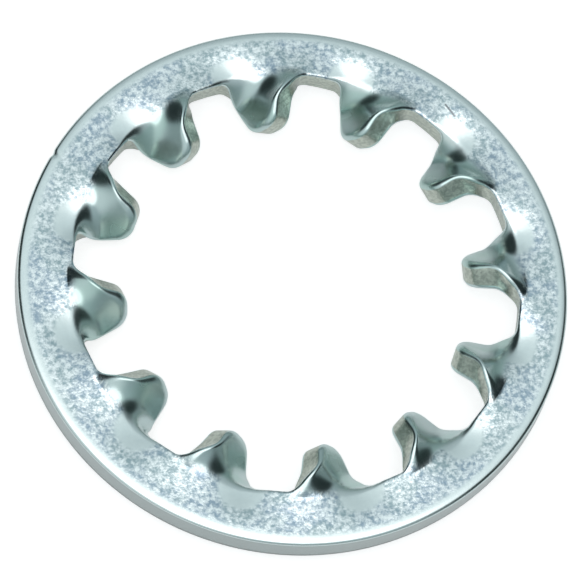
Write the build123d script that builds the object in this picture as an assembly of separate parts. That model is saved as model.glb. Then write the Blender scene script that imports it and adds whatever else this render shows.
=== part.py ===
from build123d import *
import os
from math import atan2, cos, hypot, pi, radians, sin, sqrt, tan

os.makedirs("parts", exist_ok=True)

# A toothed lock washer with internal teeth, stamped from one strip of spring steel. +Z is up.
# The origin is on the washer's axis, level with the lowest corners of the teeth.
# Each tooth lies along a radius and is twisted about it, so that its clockwise side stands up.

# Blank
outer_radius = 11.0
thickness = 1.14
edge_roll_width = 0.60  # the punch rolls the outer top edge over, this far in
edge_roll_depth = 0.16

# Teeth, measured on the flat blank
tooth_count = 12
gap_radius = 8.98  # floor of the gaps
tip_radius = 6.82
root_half_width = 1.49  # half the tooth's width at the gap radius
tip_half_width = 0.52
root_fillet = 0.46
tip_fillet = 0.55

# Cut edges of the teeth and gaps
cut_roll_width = 0.27  # roll-over of the top edge of a tooth
cut_roll_depth = 0.27
gap_roll_width = 0.08  # and of the floor of a gap
gap_roll_depth = 0.03
fracture_inset = 0.04  # how far the bottom edge stands back from the top one

# Twist
full_twist = 50.0  # degrees
twist_drop = 0.11  # the twisted part sits this much lower than the rim
crease_offset = 0.34  # the sharp crease lies this far outside the gap radius
crease_slope = tan(radians(8.5))  # and runs at this slope across the tooth
crease_ends = (-1.5, 1.25)  # where it stops, across the tooth
gap_crease_radius = 9.60  # how far out the bent part reaches at a gap
steep_length = 1.06  # the creased side has its full twist this far inside the gap radius
bend_length = 0.89  # the smooth side has it this far in
blend_half_width = 1.21  # the two sides blend into each other across this half width
free_share = 0.50  # share of the half pitch that has its full twist

# Where the surfaces are divided
flat_end = 7.76  # from its tip to this radius a tooth is flat again
face_shares = (0, 0.45, 1)  # strips of a face end at these shares of the way to its cut edge

half_pitch = pi / tooth_count
flank_slope = atan2(root_half_width - tip_half_width, gap_radius - tip_radius)
along = (cos(flank_slope), sin(flank_slope))
outward = (-sin(flank_slope), cos(flank_slope))


def eased(value):
    """A share from 0 to 1 with a level start and end."""
    share = min(max(value, 0.0), 1.0)
    return share * share * (3 - 2 * share)


def between(start, end, share):
    return (start[0] + share * (end[0] - start[0]), start[1] + share * (end[1] - start[1]))


def arc_points(centre, radius, start, end, count):
    """Points and normals on an arc, its start left out. Angles in radians."""
    angles = [start + (end - start) * (i + 1) / count for i in range(count)]
    return [
        (centre[0] + radius * cos(a), centre[1] + radius * sin(a), cos(a), sin(a))
        for a in angles
    ]


def root_fillet_centre():
    """Centre of the fillet between a flank and the floor of the gap."""
    start = (tip_radius + root_fillet * outward[0], tip_half_width + root_fillet * outward[1])
    half = start[0] * along[0] + start[1] * along[1]
    rest = start[0] ** 2 + start[1] ** 2 - (gap_radius - root_fillet) ** 2
    reach = -half + sqrt(half * half - rest)
    return (start[0] + reach * along[0], start[1] + reach * along[1])


def tip_outline():
    """Half the flat part of a tooth, from the tip's middle: points and normals out of the metal."""
    corner_height = tip_half_width - tip_fillet * (1 - sin(flank_slope)) / cos(flank_slope)
    corner = (tip_radius + tip_fillet, corner_height)
    points = [(tip_radius, 0.0, -1.0, 0.0), (tip_radius, corner_height, -1.0, 0.0)]
    points += arc_points(corner, tip_fillet, pi, pi / 2 + flank_slope, 2)
    flat_height = tip_half_width + (flat_end - tip_radius) * tan(flank_slope)
    return points + [(flat_end, flat_height) + outward]


def flank_outline():
    """The rest of the flank, to the root."""
    centre = root_fillet_centre()
    root = (centre[0] - root_fillet * outward[0], centre[1] - root_fillet * outward[1])
    start = tip_outline()[-1][:2]
    return [between(start, root, share) + outward for share in (0.5, 1)]


def gap_outline():
    """Half a gap, from the end of the flank to the gap's middle."""
    centre = root_fillet_centre()
    floor_start = atan2(centre[1], centre[0])
    points = arc_points(centre, root_fillet, flank_slope - pi / 2, floor_start, 3)
    points += arc_points((0, 0), gap_radius, floor_start, half_pitch, 1)
    return [(x, y, -nx, -ny) for x, y, nx, ny in points]


def crease_x(y):
    """Where the flat face ends, across one pitch: the crease, then a line to each gap's middle."""
    stop = min(max(y, crease_ends[0]), crease_ends[1])
    crease = gap_radius + crease_offset + crease_slope * stop
    end_x = gap_crease_radius * cos(half_pitch)
    end_y = gap_crease_radius * sin(half_pitch)
    share = abs(y - stop) / (end_y - abs(stop))
    return crease + share * (end_x - crease)


def twist_share(x, y):
    """Share of the full twist on the top face, which creases where y is negative."""
    steep = min(max((crease_x(y) - x) / (crease_x(y) - gap_radius + steep_length), 0.0), 1.0)
    steep = 1 - (1 - steep) ** 2
    smooth = eased((gap_radius - x) / bend_length)
    creased = eased(0.5 - 0.5 * y / blend_half_width)
    angle = abs(atan2(y, x)) / half_pitch
    reach = eased((1 - angle) / (1 - free_share))
    return (creased * steep + (1 - creased) * smooth) * reach


def twisted(x, y, height, share):
    """A point of the flat blank, this high over its middle, after the tooth is twisted."""
    angle = -radians(full_twist) * share
    middle = thickness / 2 - twist_drop * share
    across = y * cos(angle) - height * sin(angle)
    return Vector(x, across, middle + y * sin(angle) + height * cos(angle))


def on_top(x, y):
    return twisted(x, y, thickness / 2, twist_share(x, y))


def on_bottom(x, y):
    return twisted(x, y, -thickness / 2, twist_share(x, -y))


def on_wall(x, y, height):
    """A point of a cut edge, which has the mean of both faces' twist."""
    return twisted(x, y, height, (twist_share(x, y) + twist_share(x, -y)) / 2)


def column(point, top_start, bottom_start):
    """Points across one place on the outline: top face, rolled edge, cut wall, bottom face."""
    x, y, nx, ny = point
    rolled = eased((gap_radius - hypot(x, y)) / 0.66)
    width = gap_roll_width + (cut_roll_width - gap_roll_width) * rolled
    depth = gap_roll_depth + (cut_roll_depth - gap_roll_depth) * rolled
    shoulder = (x - width * nx, y - width * ny)
    foot = (x - fracture_inset * nx, y - fracture_inset * ny)
    wall = [on_wall(x, y, thickness / 2 - depth), on_wall(*foot, -thickness / 2)]
    top = [on_top(*between(top_start, shoulder, share)) for share in face_shares]
    bottom = [on_bottom(*between(bottom_start, foot, share)) for share in face_shares[:-1]]
    return top + wall + bottom[::-1]


def columns_and_places():
    """Columns all along one pitch, and how far along the outline each one lies."""
    tip, flank, gap = tip_outline(), flank_outline(), gap_outline()
    outline = tip + flank + gap
    places = [0.0]
    for start, end in zip(outline, outline[1:]):
        places.append(places[-1] + hypot(end[0] - start[0], end[1] - start[1]))
    flat, root = places[len(tip) - 1], places[len(tip + flank) - 1]
    ahead, behind = [], []
    for point, place in zip(outline, places):
        share = max((place - root) / (places[-1] - root), 0)
        y = share * gap_crease_radius * sin(half_pitch)
        top_start, bottom_start = (crease_x(y), y), (crease_x(-y), y)
        if place < root:
            spine = flat_end + (crease_x(0) - flat_end) * (place - flat) / (root - flat)
            top_start = bottom_start = (spine, 0.0)
        ahead.append(column(point, top_start, bottom_start))
        mirrored = (point[0], -point[1], point[2], -point[3])
        behind.append(column(mirrored, (bottom_start[0], -y), (top_start[0], -y)))
    return behind[:0:-1] + ahead, [-place for place in places[:0:-1]] + places


def row_edges(points, places, breaks, cornered):
    """A curve along the outline through one row of points, as an edge for each stretch of it."""
    slopes = []
    for index in range(len(points)):
        before = max(index - 1, 0) if index != breaks[2] else index
        after = min(index + 1, len(points) - 1) if index != breaks[3] else index
        slopes.append((points[after] - points[before]) / (places[after] - places[before]))
    for index, angle in ((0, -half_pitch), (-1, half_pitch)):
        slopes[index] = Vector(-sin(angle), cos(angle)) * slopes[index].length
    edges = []
    for first, last in zip(breaks, breaks[1:]):
        ends = None if cornered else [slopes[first], slopes[last]]
        stretch = points[first:last + 1]
        edge = Edge.make_spline(stretch, ends, parameters=places[first:last + 1], scale=False)
        edges.append(edge)
    return edges


def tip_face(rim, left, right):
    """The flat face of a tooth's tip, between its rim and the columns where the twist begins."""
    points = left + right[-2::-1]
    lines = [Edge.make_line(start, end) for start, end in zip(points, points[1:])]
    return Face(Wire([rim] + lines))


def toothed_pitch():
    """The faces of one pitch of the toothed ring, and the edges where its flat faces end."""
    columns, places = columns_and_places()
    middle = len(columns) // 2
    flat = len(tip_outline()) - 1
    root = flat + len(flank_outline())
    breaks = (0, middle - root, middle - flat, middle + flat, middle + root, len(columns) - 1)
    count = len(columns[0])
    inner = len(face_shares) - 1
    rows = []
    for row in range(count):
        points = [column[row] for column in columns]
        rows.append(row_edges(points, places, breaks, row in (0, count - 1)))
    faces = []
    for stretch in range(5):
        chosen = rows[inner:-inner] if stretch == 2 else rows
        wires = [Wire([row[stretch]]) for row in chosen]
        faces += Shell.make_loft(wires, ruled=True).faces()
    left, right = columns[middle - flat], columns[middle + flat]
    faces.append(tip_face(rows[inner][2], left[inner::-1], right[inner::-1]))
    faces.append(tip_face(rows[-inner - 1][2], left[-inner - 1:], right[-inner - 1:]))
    return faces, [rows[0][0], rows[0][4]], [rows[-1][0], rows[-1][4]]


def ring_face(creases, radius, height):
    """The flat face between the creases and a circle."""
    outer = Wire([Edge.make_circle(radius, Plane.XY.offset(height))])
    return Face(outer, [Wire(creases)])


def turned(profile):
    """The face an edge in the XZ plane makes, turned once round the axis."""
    return Face.revolve(Wire([profile]), 360, Axis.Z)


def washer():
    """The whole washer, with the rim's bottom face at height 0."""
    pitch, top_creases, bottom_creases = toothed_pitch()
    angles = [360 * index / tooth_count for index in range(tooth_count)]
    faces = [face.rotate(Axis.Z, angle) for angle in angles for face in pitch]
    top_edges = [edge.rotate(Axis.Z, angle) for angle in angles for edge in top_creases]
    bottom_edges = [edge.rotate(Axis.Z, angle) for angle in angles for edge in bottom_creases]
    flat_radius = outer_radius - edge_roll_width
    wall_top = thickness - edge_roll_depth
    faces.append(ring_face(top_edges, flat_radius, thickness))
    faces.append(ring_face(bottom_edges, outer_radius, 0))
    roll_plane = Plane((flat_radius, 0, wall_top), x_dir=(1, 0, 0), z_dir=(0, -1, 0))
    faces.append(turned(Edge.make_ellipse(edge_roll_width, edge_roll_depth, roll_plane, 0, 90)))
    faces.append(turned(Edge.make_line((outer_radius, 0, 0), (outer_radius, 0, wall_top))))
    return Solid(Shell(faces))


lock_washer = washer()
lowest = lock_washer.bounding_box().min.Z
lock_washer = lock_washer.move(Location((0, 0, -lowest)))
export_step(lock_washer, "parts/lock_washer.step")
print("lock_washer", lock_washer.is_valid, round(lock_washer.volume, 2), round(-lowest, 4))
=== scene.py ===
"""A toothed lock washer of zinc plated spring steel, lying on a white table under soft studio light."""

import bpy
import numpy as np
from mathutils import Matrix, Vector


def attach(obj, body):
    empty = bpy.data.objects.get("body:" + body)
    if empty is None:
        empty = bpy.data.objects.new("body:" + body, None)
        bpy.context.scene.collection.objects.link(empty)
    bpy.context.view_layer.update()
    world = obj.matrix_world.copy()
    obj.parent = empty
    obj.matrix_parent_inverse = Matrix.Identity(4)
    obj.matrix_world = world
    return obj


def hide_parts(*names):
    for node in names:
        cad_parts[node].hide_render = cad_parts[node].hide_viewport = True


MM = 0.001

# The rim, in millimetres. +X runs along the middle of the first tooth.
OUTER_RADIUS = 11.0
THICKNESS = 1.14
RIM_BOTTOM = 0.7239  # the lowest tooth corners reach this far below the rim
EDGE_ROLL_WIDTH = 0.60  # the outer top edge falls away over this width
EDGE_ROLL_DEPTH = 0.16
SLOPE_SHARE = 0.25  # this share of its depth is a shallow slope, and the rest a tight corner
CORNER_START = 0.76  # which begins at this share of its width
BURR_WIDTH = 0.10  # the outer foot has a burr from the punch
BURR_HEIGHT = 0.07

# The teeth, measured on the flat blank
TOOTH_COUNT = 12
HALF_PITCH = np.pi / TOOTH_COUNT
GAP_RADIUS = 8.94  # floor of the gaps
TIP_RADIUS = 6.82
ROOT_HALF_WIDTH = 1.49  # half a tooth's width at the gap radius
TIP_HALF_WIDTH = 0.60
ROOT_FILLET = 0.40
TIP_FILLET = 0.74
HOLE_OFFSET = (0.165, 0.125)  # the teeth stand this far off the rim's centre
OFFSET_FADE = (9.16, 10.78)  # the offset fades out between these radii

# The rolls of the teeth's and gaps' cut edges
TIP_ROLL_WIDTH = 0.32
TIP_ROLL_DEPTH = 0.27
FLANK_ROLL_WIDTH = 0.14
FLANK_ROLL_DEPTH = 0.15
GAP_ROLL_WIDTH = 0.12
GAP_ROLL_DEPTH = 0.08
FOOT_ROLL = 0.22  # of a tooth's bottom edge
GAP_FOOT_ROLL = 0.03  # of a gap's
ROOT_BLEND = 0.66  # a gap's rolls become a tooth's over this length
TIP_ROLL_START = 8.1  # and a flank's become a tip's from this radius inwards
TIP_BLEND = 1.2
FRACTURE_INSET = 0.04  # the bottom edge stands back this far from the top one

# The twist, in degrees for each tooth, anticlockwise from the one on +X
TWISTS = (48,) * 9 + (47,) * 3
TWIST_DROP = 0.15  # the twisted part sits this much lower than the rim
CREASE_OFFSET = 0.34  # the sharp crease lies this far outside the gap radius
CREASE_SLOPE = np.tan(np.radians(8.5))
CREASE_ENDS = (-1.5, 1.25)  # where it stops, across the tooth
GAP_CREASE_RADIUS = 9.60  # how far out the bent part reaches at a gap
STEEP_LENGTH = 1.2  # length of the climb inwards from the crease
LEVEL_START = 0.7  # which levels off between these shares of it
LEVEL_END = 1.3
RAISED_LIMIT = 1.75  # the creased side's twist ends this far across the tooth
RAISED_FADE = 0.7
BEND_LENGTH = 1.05  # the smooth side has its full twist this far inside the gap radius
BEND_LEAD = 0.22  # and begins this far outside it
BLEND_MIDDLE = -0.3  # the two sides blend into each other about here, across the tooth
BLEND_HALF_WIDTH = 0.85
FREE_SHARE = 0.50  # share of the half pitch where the smooth side has its full twist

# The rim's slight wave, which dips deeper at each tooth's lowered side
WAVE_HEIGHT = 0.105
WAVE_DIP = 0.35
WAVE_RADIUS = 10.5  # it grows from this radius inwards
WAVE_FADE = 1.7

# Painted highlight: where the rim is painted smooth and brighter, with few specks: in the wave's dips,
# from this share of its height on, and along the outer edge, from this radius outwards
PAINTED_HIGHLIGHT_DIP = 0.15
PAINTED_HIGHLIGHT_FADE = 0.4
BAND_RADIUS = 10.45
BAND_FADE = 0.25

# A nick in the outer edge
NICK_ANGLE = 143.1  # degrees
NICK_HALF_WIDTH = 0.7  # degrees
NICK_REACH = 0.3
NICK_DEPTH = 0.05
NICK_DROP = 0.03

# The mesh: points along each stretch of half a pitch, rows on a wall, and where rows lie on a face
TIP_STEPS, FILLET_STEPS, FLANK_STEPS, GAP_STEPS = 2, 12, 18, 9
WALL_ROWS = 7
EDGE_SHARES = (0.993, 0.97, 0.93, 0.86, 0.76, 0.5, 0.25)
RIM_SHARES = (0.0, 0.12, 0.25, 0.38, 0.5, 0.62, 0.75, 0.87)
FACE_SHARES = (0.0, 0.025, 0.06, 0.11, 0.17, 0.24, 0.32, 0.41, 0.5, 0.59, 0.68, 0.77, 0.86, 0.94)
ROLL_SHARES = (0.0, 0.3, 0.55, 0.75, 0.9, 0.98)
UNDER_SHARES = (0.75, 0.5, 0.25, 0)
HALVINGS = 40  # of the search for the crease between two points
MARKS = ("bent", "cut", "outer", "painted_highlight")  # numbers that it keeps at each point, for the material

# The zinc plate: colours, and the sizes of its marks in millimetres
SPECK_DARK_BLUE = (0.29, 0.38, 0.46, 1)
SPECK_DARK_GREEN = (0.31, 0.41, 0.44, 1)
SPECK_PALE = (0.82, 0.88, 0.89, 1)
# Painted highlight: the brighter colour of the rim where it is painted smooth
PAINTED_HIGHLIGHT_COLOUR = (0.70, 0.78, 0.78, 1)
BENT_BLUE = (0.56, 0.67, 0.67, 1)
BENT_GREEN = (0.50, 0.65, 0.62, 1)
SCRATCH_COLOUR = (0.24, 0.26, 0.28, 1)
SHEARED_DARK = (0.40, 0.44, 0.39, 1)
SHEARED_PALE = (0.58, 0.62, 0.55, 1)
OUTER_WALL_COLOUR = (0.43, 0.48, 0.48, 1)
GRAIN_SIZE = 0.10
GRAIN_HEIGHT = 0.006
BENT_GRAIN = 0.12  # strength of the grain where the plate has no specks
SPECK_SIZE = 0.20
PAINTED_HIGHLIGHT_SPECKS = 0.05  # share of the specks that is left under the painted highlight
PATCH_SIZE = 1.6
PATCH_ROUGHNESS = (0.17, 0.22)
BENT_ROUGHNESS = 0.06  # added where the steel is bent
STREAK_SIZE = 0.13

# The stretch of a noise, or of the share of the twist, over which each mark of the plate changes
SPECK_RANGE = (0.31, 0.69)
TINT_RANGE = (0.4, 0.6)
ROUGHNESS_RANGE = (0.3, 0.7)
STREAK_RANGE = (0.35, 0.65)
UNBENT_RANGE = (0.02, 0.30)
BARE_RANGE = (0.0, 0.3)

# A scratch on the rim: where it is, and the distances over which it fades
SCRATCH_START = (7.29, 7.09, 1.85)
SCRATCH_END = (7.58, 6.58, 1.84)
SCRATCH_INNER = 0.018
SCRATCH_OUTER = 0.06

# The studio's sky: its colours, and the heights (sine of the elevation) between which they change
LOW_SKY = (0.21, 0.28, 0.27, 1)
MIDDLE_SKY = (0.47, 0.55, 0.57, 1)
HIGH_SKY = (0.82, 0.92, 0.94, 1)
LOW_HEIGHT = -0.1
MIDDLE_HEIGHT = 0.75
HIGH_HEIGHT = 0.91

# Soft discs in it: azimuth, elevation, and the angles from the middle where the fade begins and ends
FRONT_LIGHT = (-120, 42, 8, 44)
FRONT_STRENGTH = 0.8
FRONT_COLOUR = (0.85, 0.92, 0.92, 1)
RIGHT_SHADE = (16, 27, 23, 44)
RIGHT_SHADE_FOOT = (0.20, 0.34)  # the heights where it begins
LEFT_SHADE = (164, 28, 18, 35)
SHADE_COLOUR = (0.02, 0.03, 0.03, 1)
SOFTBOX = (-90, 80, 22, 29)
SOFTBOX_COLOUR = (1.85, 1.85, 1.85, 1)

# The table glows for the camera, so that it is white in the picture, and a little for the metal
TABLE_SIZE = 2
TABLE_COLOUR = (0.5, 0.5, 0.5, 1)
MIRRORED_TABLE_COLOUR = (0.9, 0.9, 0.9, 1)
CAMERA_GLOW = 0.75
MIRRORED_GLOW = 0.15

# The camera looks down at the washer's middle, rolled a little. Angles are in degrees, and the
# rest in millimetres. The frame shift moves its target to the picture's right and up.
CAMERA_AZIMUTH = 24.848
CAMERA_ELEVATION = 66.94
CAMERA_ROLL = 17.6
CAMERA_DISTANCE = 289.3
CAMERA_LENS = 454.6
FRAME_SHIFT = (-0.3020, -0.0587)


def eased(value):
    """A share from 0 to 1 with a level start and end."""
    share = np.clip(value, 0, 1)
    return share * share * (3 - 2 * share)


def rounded(share):
    """How far a quarter circle has fallen at this share of its width."""
    return 1 - np.sqrt(1 - share * share)


def arc(centre, radius, start, end, count):
    """Points on an arc, its start left out, and their directions from its centre. In radians."""
    angles = np.linspace(start, end, count + 1)[1:]
    directions = np.stack([np.cos(angles), np.sin(angles)], 1)
    return np.array(centre) + radius * directions, directions


def line(start, end, normal, count):
    """Points on a line, its start left out, and the same normal for each."""
    shares = np.linspace(0, 1, count + 1)[1:, None]
    start, end = np.array(start), np.array(end)
    return start + shares * (end - start), np.repeat([normal], count, 0)


def half_outline():
    """Points and normals of the flat blank's cut edge, from the middle of a tip to mid gap."""
    slope = np.arctan2(ROOT_HALF_WIDTH - TIP_HALF_WIDTH, GAP_RADIUS - TIP_RADIUS)
    along = np.array([np.cos(slope), np.sin(slope)])
    outward = np.array([-np.sin(slope), np.cos(slope)])
    corner_height = TIP_HALF_WIDTH - TIP_FILLET * (1 - np.sin(slope)) / np.cos(slope)
    start = np.array([TIP_RADIUS, TIP_HALF_WIDTH]) + ROOT_FILLET * outward
    half = start @ along
    reach = np.sqrt(half * half - start @ start + (GAP_RADIUS - ROOT_FILLET) ** 2) - half
    centre = start + reach * along
    root = centre - ROOT_FILLET * outward
    floor_start = np.arctan2(centre[1], centre[0])
    tip_corner = (TIP_RADIUS + TIP_FILLET, corner_height)
    flank_start = np.array(tip_corner) + TIP_FILLET * outward
    parts = [(np.array([[TIP_RADIUS, 0.0]]), np.array([[-1.0, 0.0]]))]
    parts.append(line((TIP_RADIUS, 0), (TIP_RADIUS, corner_height), (-1, 0), TIP_STEPS))
    parts.append(arc(tip_corner, TIP_FILLET, np.pi, np.pi / 2 + slope, FILLET_STEPS))
    parts.append(line(flank_start, root, outward, FLANK_STEPS))
    points, directions = arc(centre, ROOT_FILLET, slope - np.pi / 2, floor_start, FILLET_STEPS)
    parts.append((points, -directions))
    points, directions = arc((0, 0), GAP_RADIUS, floor_start, HALF_PITCH, GAP_STEPS)
    parts.append((points, -directions))
    return [np.concatenate(values) for values in zip(*parts)]


def crease_x(y):
    """Where the rim's flat top ends, across one pitch."""
    stop = np.clip(y, *CREASE_ENDS)
    crease = GAP_RADIUS + CREASE_OFFSET + CREASE_SLOPE * stop
    end_x = GAP_CREASE_RADIUS * np.cos(HALF_PITCH)
    end_y = GAP_CREASE_RADIUS * np.sin(HALF_PITCH)
    share = np.abs(y - stop) / (end_y - np.abs(stop))
    return crease + share * (end_x - crease)


def twist_share(x, y):
    """Share of a tooth's full twist on the top face, which creases where y is negative."""
    climb = np.clip((crease_x(y) - x) / STEEP_LENGTH, 0, LEVEL_END)
    levelled = np.maximum(climb - LEVEL_START, 0) ** 2 / (2 * (LEVEL_END - LEVEL_START))
    raised = (climb - levelled) * eased((RAISED_LIMIT + y) / RAISED_FADE)
    bend = (GAP_RADIUS + BEND_LEAD - np.hypot(x, y)) / (BEND_LEAD + BEND_LENGTH)
    reach = (1 - np.abs(np.arctan2(y, x)) / HALF_PITCH) / (1 - FREE_SHARE)
    lowered = eased(bend) * eased(reach)
    creased = eased((BLEND_MIDDLE - y) / (2 * BLEND_HALF_WIDTH) + 0.5)
    return creased * raised + (1 - creased) * lowered


def on_face(plan, top, twist, drop=0.0):
    """Points of the twisted tooth's top or bottom face, over these points of the flat blank."""
    x, y = plan[..., 0], plan[..., 1]
    side = 1 if top else -1
    share = twist_share(x, side * y)
    height = side * (THICKNESS / 2 - drop)
    angle = -np.radians(twist) * share
    middle = THICKNESS / 2 - TWIST_DROP * share
    across = y * np.cos(angle) - height * np.sin(angle)
    return np.stack([x, across, middle + y * np.sin(angle) + height * np.cos(angle)], -1)


def crossing(start, end, top):
    """Share of the way from start to end where each line meets the crease."""
    low, high = np.zeros(len(start)), np.ones(len(start))
    for _ in range(HALVINGS):
        middle = (low + high) / 2
        place = start + middle[:, None] * (end - start)
        outside = place[:, 0] > crease_x(place[:, 1] if top else -place[:, 1])
        low, high = np.where(outside, middle, low), np.where(outside, high, middle)
    return high


def cut_rolls(points):
    """Width and depth of the top edge's roll along the outline, and the size of the bottom edge's."""
    radius = np.hypot(*points.T)
    tooth = eased((GAP_RADIUS - radius) / ROOT_BLEND)
    tip = eased((TIP_ROLL_START - radius) / TIP_BLEND)
    flank_width = FLANK_ROLL_WIDTH + (TIP_ROLL_WIDTH - FLANK_ROLL_WIDTH) * tip
    flank_depth = FLANK_ROLL_DEPTH + (TIP_ROLL_DEPTH - FLANK_ROLL_DEPTH) * tip
    width = GAP_ROLL_WIDTH + (flank_width - GAP_ROLL_WIDTH) * tooth
    depth = GAP_ROLL_DEPTH + (flank_depth - GAP_ROLL_DEPTH) * tooth
    return width, depth, GAP_FOOT_ROLL + (FOOT_ROLL - GAP_FOOT_ROLL) * tooth


def pitch_rows(twist):
    """All rows of points across one pitch, from the foot of the outer edge over the top and back."""
    half_points, half_normals = half_outline()
    points = np.concatenate([half_points[::-1] * (1, -1), half_points[1:]])
    normals = np.concatenate([half_normals[::-1] * (1, -1), half_normals[1:]])
    angles = np.linspace(-HALF_PITCH, HALF_PITCH, len(points))
    spokes = np.stack([np.cos(angles), np.sin(angles)], 1)
    ring = np.zeros(len(points))
    width, depth, foot_roll = cut_rolls(points)
    rows, marks = [], []

    def add(row, bent=0.0, cut=0.0, outer=0.0):
        rows.append(row)
        marks.append([ring + mark for mark in (bent, cut, outer)])

    def add_ring(radius, height, outer=0.0):
        add(np.column_stack([radius * spokes, ring + height]), 0.0, outer, outer)

    def add_face(plan, top, drop=0.0):
        side = 1 if top else -1
        add(on_face(plan, top, twist, drop), twist_share(plan[:, 0], side * plan[:, 1]))

    for height in np.linspace(-BURR_HEIGHT, THICKNESS - EDGE_ROLL_DEPTH, WALL_ROWS):
        add_ring(OUTER_RADIUS, height, 1.0)
    for share in EDGE_SHARES:
        corner = rounded(max(share - CORNER_START, 0) / (1 - CORNER_START))
        drop = EDGE_ROLL_DEPTH * (SLOPE_SHARE * share**2 + (1 - SLOPE_SHARE) * corner)
        add_ring(OUTER_RADIUS - EDGE_ROLL_WIDTH * (1 - share), THICKNESS - drop)
    start = (OUTER_RADIUS - EDGE_ROLL_WIDTH) * spokes
    shoulder = points - width[:, None] * normals
    crease = start + crossing(start, shoulder, True)[:, None] * (shoulder - start)
    for share in RIM_SHARES:
        add_face(start + share * (crease - start), True)
    for share in FACE_SHARES:
        add_face(crease + share * (shoulder - crease), True)
    for share in ROLL_SHARES:
        add_face(shoulder + share * (points - shoulder), True, depth * rounded(share))
    foot = points - FRACTURE_INSET * normals
    top_edge = on_face(points, True, twist, depth)
    bottom_edge = on_face(foot, False, twist, foot_roll)
    for share in np.linspace(0, 1, WALL_ROWS):
        add(top_edge + share * (bottom_edge - top_edge), 1.0, 1.0)
    inner = foot - foot_roll[:, None] * normals
    for share in ROLL_SHARES[:0:-1]:
        add_face(inner + share * (foot - inner), False, foot_roll * rounded(share))
    start = (OUTER_RADIUS - BURR_WIDTH) * spokes
    crease = start + crossing(start, inner, False)[:, None] * (inner - start)
    for share in FACE_SHARES[::-1]:
        add_face(crease + share * (inner - crease), False)
    for share in UNDER_SHARES:
        add_face(start + share * (crease - start), False)
    return np.array(rows), np.array(marks)


def add_nick(points, radius, azimuth):
    """Presses the nick into the outer edge, deepest at its top."""
    across = np.exp(-(((azimuth - NICK_ANGLE) / NICK_HALF_WIDTH) ** 2))
    inward = eased((radius - (OUTER_RADIUS - NICK_REACH)) / NICK_REACH)
    nick = across * inward * eased(points[..., 2] - RIM_BOTTOM)
    points[..., :2] *= 1 - NICK_DEPTH / OUTER_RADIUS * nick[..., None]
    points[..., 2] -= NICK_DROP * nick


def washer_points():
    """Points of the washer in metres, in rows round the section and columns round the ring."""
    pitches, pitch_marks = [], []
    for index, twist in enumerate(TWISTS):
        rows, marks = pitch_rows(twist)
        cosine = np.cos(2 * np.pi * index / TOOTH_COUNT)
        sine = np.sin(2 * np.pi * index / TOOTH_COUNT)
        turn = np.array([[cosine, sine, 0], [-sine, cosine, 0], [0, 0, 1]])
        pitches.append(rows[:, :-1] @ turn)
        pitch_marks.append(marks[:, :, :-1])
    points = np.concatenate(pitches, 1)
    radius = np.hypot(points[..., 0], points[..., 1])
    angle = np.arctan2(points[..., 1], points[..., 0])
    wave = np.sin(TOOTH_COUNT * angle)
    wave = (wave + WAVE_DIP * wave * wave) * eased((WAVE_RADIUS - radius) / WAVE_FADE)
    points[..., 2] += RIM_BOTTOM - WAVE_HEIGHT * wave
    # Painted highlight: the rim is painted brighter and smooth in the wave's dips and along the outer
    # edge
    dipped = eased((wave - PAINTED_HIGHLIGHT_DIP) / PAINTED_HIGHLIGHT_FADE)
    painted_highlight = np.maximum(dipped, eased((radius - BAND_RADIUS) / BAND_FADE))
    add_nick(points, radius, np.degrees(angle))
    inner, outer = OFFSET_FADE
    share = 1 - np.clip((radius - inner) / (outer - inner), 0, 1)
    points[..., :2] += share[..., None] * HOLE_OFFSET
    marks = np.concatenate(pitch_marks, 2)
    return points * MM, np.concatenate([marks, painted_highlight[:, None]], 1)


def grid_mesh(name, points):
    """A closed surface through a grid of points that wraps round both ways."""
    rows, columns = points.shape[:2]
    index = np.arange(rows * columns).reshape(rows, columns)
    right, above = np.roll(index, -1, 1), np.roll(index, -1, 0)
    quads = np.stack([index, right, np.roll(right, -1, 0), above], -1).reshape(-1, 4)
    mesh = bpy.data.meshes.new(name)
    mesh.from_pydata(points.reshape(-1, 3).tolist(), [], quads.tolist())
    mesh.shade_smooth()
    item = bpy.data.objects.new(name, mesh)
    bpy.context.scene.collection.objects.link(item)
    return item


def add_attribute(item, name, values):
    """Keeps a number for each point of the mesh, which the material reads."""
    attribute = item.data.attributes.new(name, "FLOAT", "POINT")
    attribute.data.foreach_set("value", values.astype(np.float32).ravel())


def add_camera():
    turn = np.radians(CAMERA_AZIMUTH)
    rise = np.radians(CAMERA_ELEVATION)
    roll = np.radians(CAMERA_ROLL)
    across = Vector((np.cos(turn), -np.sin(turn), 0))
    back = Vector((-np.sin(turn) * np.cos(rise), -np.cos(turn) * np.cos(rise), np.sin(rise)))
    upward = back.cross(across)
    right = across * np.cos(roll) + upward * np.sin(roll)
    up = upward * np.cos(roll) - across * np.sin(roll)
    target = Vector((*HOLE_OFFSET, RIM_BOTTOM + THICKNESS / 2))
    target += right * FRAME_SHIFT[0] + up * FRAME_SHIFT[1]
    data = bpy.data.cameras.new("camera")
    data.lens = CAMERA_LENS
    data.clip_start, data.clip_end = 0.01, 10
    camera = bpy.data.objects.new("camera", data)
    turned = Matrix((right, up, back)).transposed().to_4x4()
    camera.matrix_world = Matrix.Translation((target + back * CAMERA_DISTANCE) * MM) @ turned
    bpy.context.scene.collection.objects.link(camera)
    bpy.context.scene.camera = camera


def node(tree, kind, inputs=(), **settings):
    """A new shader node. Each input is a value, or the socket it is linked from."""
    made = tree.nodes.new(kind)
    for name, value in settings.items():
        setattr(made, name, value)
    for name, value in dict(inputs).items():
        if isinstance(value, bpy.types.NodeSocket):
            tree.links.new(value, made.inputs[name])
        else:
            made.inputs[name].default_value = value
    return made


def maths(tree, operation, *values):
    return node(tree, "ShaderNodeMath", enumerate(values), operation=operation).outputs[0]


def vector_maths(tree, operation, inputs, output="Vector"):
    return node(tree, "ShaderNodeVectorMath", inputs, operation=operation).outputs[output]


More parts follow.
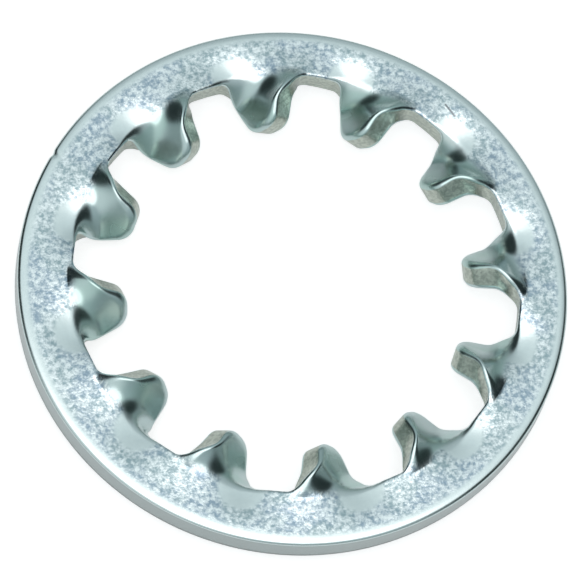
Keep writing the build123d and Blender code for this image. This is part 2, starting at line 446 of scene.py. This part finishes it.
def ramp(tree, value, low, high, start=0.0, end=1.0):
    """A smooth step from start to end, as value goes from low to high."""
    inputs = {"Value": value, "From Min": low, "From Max": high, "To Min": start, "To Max": end}
    return node(tree, "ShaderNodeMapRange", inputs, interpolation_type="SMOOTHSTEP").outputs[0]


def mix_colour(tree, share, first, second):
    """A blend of two colours. On the mix node they are inputs 6 and 7, and the result is output 2."""
    made = node(tree, "ShaderNodeMix", data_type="RGBA")
    for index, value in ((0, share), (6, first), (7, second)):
        if isinstance(value, bpy.types.NodeSocket):
            tree.links.new(value, made.inputs[index])
        else:
            made.inputs[index].default_value = value
    return made.outputs[2]


def noise(tree, place, size, detail=2.0, roughness=0.5):
    """Noise whose blobs are this many millimetres across."""
    inputs = {"Vector": place, "Scale": 1 / (size * MM), "Detail": detail, "Roughness": roughness}
    return node(tree, "ShaderNodeTexNoise", inputs).outputs["Fac"]


def near_line(tree, place, start, end, inner, outer):
    """1 within the inner distance from a line between two points, 0 past the outer. Millimetres."""
    start, along = Vector(start) * MM, (Vector(end) - Vector(start)) * MM
    offset = vector_maths(tree, "SUBTRACT", {0: place, 1: start})
    inputs = {0: offset, 1: along / along.length_squared}
    share = vector_maths(tree, "DOT_PRODUCT", inputs, "Value")
    share = maths(tree, "MINIMUM", maths(tree, "MAXIMUM", share, 0.0), 1.0)
    nearest = vector_maths(tree, "SCALE", {0: along, "Scale": share})
    apart = vector_maths(tree, "DISTANCE", {0: offset, 1: nearest}, "Value")
    return ramp(tree, apart, inner * MM, outer * MM, 1.0, 0.0)


def face_colour(tree, place, flat, bent, tint):
    """Speckled where the rim is flat, smooth and brighter where a highlight is painted, darker where it
    is bent.
    """
    specks = noise(tree, place, SPECK_SIZE, detail=2.5, roughness=0.68)
    dark = mix_colour(tree, tint, SPECK_DARK_BLUE, SPECK_DARK_GREEN)
    speckled = mix_colour(tree, ramp(tree, specks, *SPECK_RANGE), dark, SPECK_PALE)
    bare = mix_colour(tree, tint, BENT_BLUE, BENT_GREEN)
    # Painted highlight: the brighter colour where the rim is painted smooth, unless it is bent
    smooth = mix_colour(tree, ramp(tree, bent, *BARE_RANGE), PAINTED_HIGHLIGHT_COLOUR, bare)
    face = mix_colour(tree, flat, smooth, speckled)
    ends = (SCRATCH_START, SCRATCH_END)
    scratch = near_line(tree, place, *ends, SCRATCH_INNER, SCRATCH_OUTER)
    return mix_colour(tree, scratch, face, SCRATCH_COLOUR)


def wall_colour(tree, place, outer):
    """Streaked on the sheared walls of the teeth and gaps, and even on the outer wall."""
    streaks = noise(tree, place, STREAK_SIZE, roughness=0.6)
    sheared = mix_colour(tree, ramp(tree, streaks, *STREAK_RANGE), SHEARED_DARK, SHEARED_PALE)
    return mix_colour(tree, outer, sheared, OUTER_WALL_COLOUR)


def zinc_material():
    material = bpy.data.materials.new("zinc_plate")
    material.use_nodes = True
    tree = material.node_tree
    shader = tree.nodes["Principled BSDF"]
    shader.inputs["Metallic"].default_value = 1.0
    place = node(tree, "ShaderNodeTexCoord").outputs["Object"]
    bent, cut, outer, painted_highlight = [
        node(tree, "ShaderNodeAttribute", attribute_name=name).outputs["Fac"] for name in MARKS
    ]
    unbent = ramp(tree, bent, *UNBENT_RANGE, 1.0, 0.0)
    # Painted highlight: the specks fade where the highlight is painted
    flat = maths(tree, "MULTIPLY", unbent, ramp(tree, painted_highlight, 0.0, 1.0, 1.0, PAINTED_HIGHLIGHT_SPECKS))
    patch = noise(tree, place, PATCH_SIZE)
    face = face_colour(tree, place, flat, bent, ramp(tree, patch, *TINT_RANGE))
    colour = mix_colour(tree, cut, face, wall_colour(tree, place, outer))
    tree.links.new(colour, shader.inputs["Base Color"])
    patchy = ramp(tree, patch, *ROUGHNESS_RANGE, *PATCH_ROUGHNESS)
    rough = maths(tree, "ADD", patchy, maths(tree, "MULTIPLY", bent, BENT_ROUGHNESS))
    tree.links.new(rough, shader.inputs["Roughness"])
    grain = noise(tree, place, GRAIN_SIZE, detail=1.0)
    strength = maths(tree, "ADD", flat, BENT_GRAIN)
    inputs = {"Height": grain, "Strength": strength, "Distance": GRAIN_HEIGHT * MM}
    bump = node(tree, "ShaderNodeBump", inputs)
    tree.links.new(bump.outputs["Normal"], shader.inputs["Normal"])
    return material


def direction(azimuth, elevation):
    """A unit vector. Azimuth 0 is the picture's right, and 90 away from the camera."""
    turn = np.radians(azimuth - CAMERA_AZIMUTH)
    rise = np.radians(elevation)
    return (np.cos(turn) * np.cos(rise), np.sin(turn) * np.cos(rise), np.sin(rise))


def disc(tree, place, azimuth, elevation, inner, outer):
    """A soft disc in the studio's sky, 1 within the inner angle from its middle."""
    inputs = {0: place, 1: direction(azimuth, elevation)}
    nearness = vector_maths(tree, "DOT_PRODUCT", inputs, "Value")
    return ramp(tree, nearness, np.cos(np.radians(outer)), np.cos(np.radians(inner)))


def add_studio():
    world = bpy.data.worlds.new("studio")
    bpy.context.scene.world = world
    world.use_nodes = True
    tree = world.node_tree
    place = node(tree, "ShaderNodeTexCoord").outputs["Generated"]
    height = node(tree, "ShaderNodeSeparateXYZ", {"Vector": place}).outputs["Z"]
    low = mix_colour(tree, ramp(tree, height, LOW_HEIGHT, MIDDLE_HEIGHT), LOW_SKY, MIDDLE_SKY)
    sky = mix_colour(tree, ramp(tree, height, MIDDLE_HEIGHT, HIGH_HEIGHT), low, HIGH_SKY)
    front = maths(tree, "MULTIPLY", disc(tree, place, *FRONT_LIGHT), FRONT_STRENGTH)
    sky = mix_colour(tree, front, sky, FRONT_COLOUR)
    raised = ramp(tree, height, *RIGHT_SHADE_FOOT)
    right_shade = maths(tree, "MULTIPLY", disc(tree, place, *RIGHT_SHADE), raised)
    shades = maths(tree, "ADD", right_shade, disc(tree, place, *LEFT_SHADE))
    sky = mix_colour(tree, shades, sky, SHADE_COLOUR)
    sky = mix_colour(tree, disc(tree, place, *SOFTBOX), sky, SOFTBOX_COLOUR)
    tree.links.new(sky, tree.nodes["Background"].inputs["Color"])


def add_floor():
    bpy.ops.mesh.primitive_plane_add(size=TABLE_SIZE)
    floor = bpy.context.object
    floor.name = "floor"
    material = bpy.data.materials.new("white_table")
    material.use_nodes = True
    tree = material.node_tree
    tree.nodes.remove(tree.nodes["Principled BSDF"])
    rays = node(tree, "ShaderNodeLightPath").outputs
    mirrored = maths(tree, "ADD", rays["Is Glossy Ray"], rays["Is Transmission Ray"])
    camera_glow = maths(tree, "MULTIPLY", rays["Is Camera Ray"], CAMERA_GLOW)
    strength = maths(tree, "ADD", camera_glow, maths(tree, "MULTIPLY", mirrored, MIRRORED_GLOW))
    colour = mix_colour(tree, mirrored, TABLE_COLOUR, MIRRORED_TABLE_COLOUR)
    diffuse = node(tree, "ShaderNodeBsdfDiffuse", {"Color": colour}).outputs[0]
    glow = node(tree, "ShaderNodeEmission", {"Strength": strength}).outputs[0]
    both = node(tree, "ShaderNodeAddShader", {0: diffuse, 1: glow}).outputs[0]
    tree.links.new(both, tree.nodes["Material Output"].inputs["Surface"])
    floor.data.materials.append(material)


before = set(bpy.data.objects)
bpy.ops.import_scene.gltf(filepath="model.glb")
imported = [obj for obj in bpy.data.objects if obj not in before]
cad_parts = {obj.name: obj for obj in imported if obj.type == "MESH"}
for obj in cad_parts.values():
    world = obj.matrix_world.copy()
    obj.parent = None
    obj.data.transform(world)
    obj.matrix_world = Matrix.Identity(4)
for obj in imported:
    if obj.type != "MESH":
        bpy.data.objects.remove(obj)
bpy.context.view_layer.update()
points, marks = washer_points()
washer = grid_mesh("washer", points)
for index, name in enumerate(MARKS):
    add_attribute(washer, name, marks[:, index])
washer.data.materials.append(zinc_material())
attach(washer, "root")
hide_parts("lock_washer")
add_camera()
add_floor()
add_studio()
bpy.context.scene.view_settings.view_transform = "Standard"
